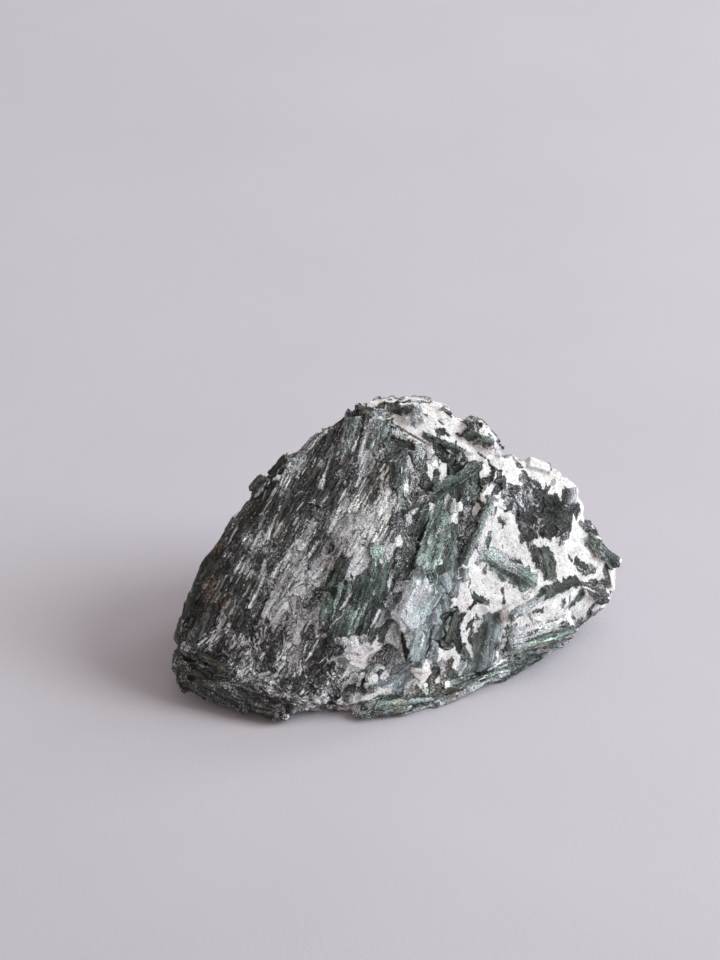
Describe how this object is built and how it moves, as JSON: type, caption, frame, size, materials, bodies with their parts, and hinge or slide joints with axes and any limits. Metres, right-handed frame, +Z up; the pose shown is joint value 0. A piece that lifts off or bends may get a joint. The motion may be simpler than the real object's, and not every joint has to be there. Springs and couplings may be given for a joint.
{
  "type": "actinolite specimen",
  "caption": "Rough hand specimen of actinolite: striated green and blue-grey blades grown through white talc, broken into flat faces, ledges and cracks.",
  "frame": {"origin": "middle of the specimen's bounding box, on the surface that it rests on", "axes": "+X along the specimen's length, towards the pale end; +Y towards its back; +Z up as it rests"},
  "size_m": [0.1158, 0.0776, 0.0677],
  "materials": {
    "stone": "rough"
  },
  "bodies": {
    "root": {"actinolite": "stone"}
  },
  "joints": []
}
